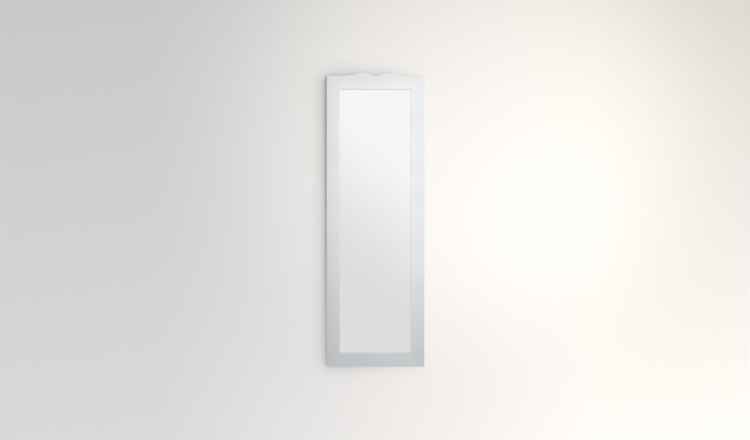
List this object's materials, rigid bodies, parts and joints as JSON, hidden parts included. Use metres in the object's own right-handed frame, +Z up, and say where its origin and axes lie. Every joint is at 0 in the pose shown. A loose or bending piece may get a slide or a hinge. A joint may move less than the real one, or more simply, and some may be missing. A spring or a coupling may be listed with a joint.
{
  "type": "full-length wall mirror",
  "caption": "Tall narrow wall mirror in a flat white mitred frame whose top edge rises in two soft humps, with swinging ring hangers and soft bumpers on its back.",
  "frame": {"origin": "on the wall plane, midway between the two points where the raised rings hang on their hooks", "axes": "+X to the right as seen from the front, +Y into the wall, +Z up; the glass faces -Y"},
  "size_m": [0.4, 0.025, 1.2],
  "materials": {
    "frame_paint": "satin",
    "bright_steel": "satin",
    "silvered_glass": "polished",
    "clear_film": "satin",
    "white_foam": "matte",
    "fibreboard": "matte",
    "zinc_plate": "satin",
    "zinc_wire": "gloss",
    "screw_steel": "satin",
    "bumper_rubber": "matte"
  },
  "bodies": {
    "mirror": {"top_rail": "frame_paint", "bottom_rail": "frame_paint", "left_stile": "frame_paint", "right_stile": "frame_paint", "mitre_nails": "bright_steel", "glazing_points": "bright_steel", "mirror_glass": "silvered_glass", "safety_film": "clear_film", "foam_sheet": "white_foam", "backing_board": "fibreboard", "hanger_strap_left": "zinc_plate", "hanger_strap_right": "zinc_plate", "hanger_screws": "screw_steel", "bumper_top_left": "bumper_rubber", "bumper_top_right": "bumper_rubber", "bumper_bottom_left": "bumper_rubber", "bumper_bottom_right": "bumper_rubber"},
    "ring_left": {"hanger_ring_left": "zinc_wire"},
    "ring_right": {"hanger_ring_right": "zinc_wire"}
  },
  "joints": [
    {"name": "left_ring_swing", "type": "hinge", "parent": "mirror", "child": "ring_left", "pos_m": [-0.1775, -0.00265, -0.01378], "axis": [-1, 0, 0], "range_deg": [0, 183]},
    {"name": "right_ring_swing", "type": "hinge", "parent": "mirror", "child": "ring_right", "pos_m": [0.1775, -0.00265, -0.01378], "axis": [-1, 0, 0], "range_deg": [0, 183]}
  ]
}
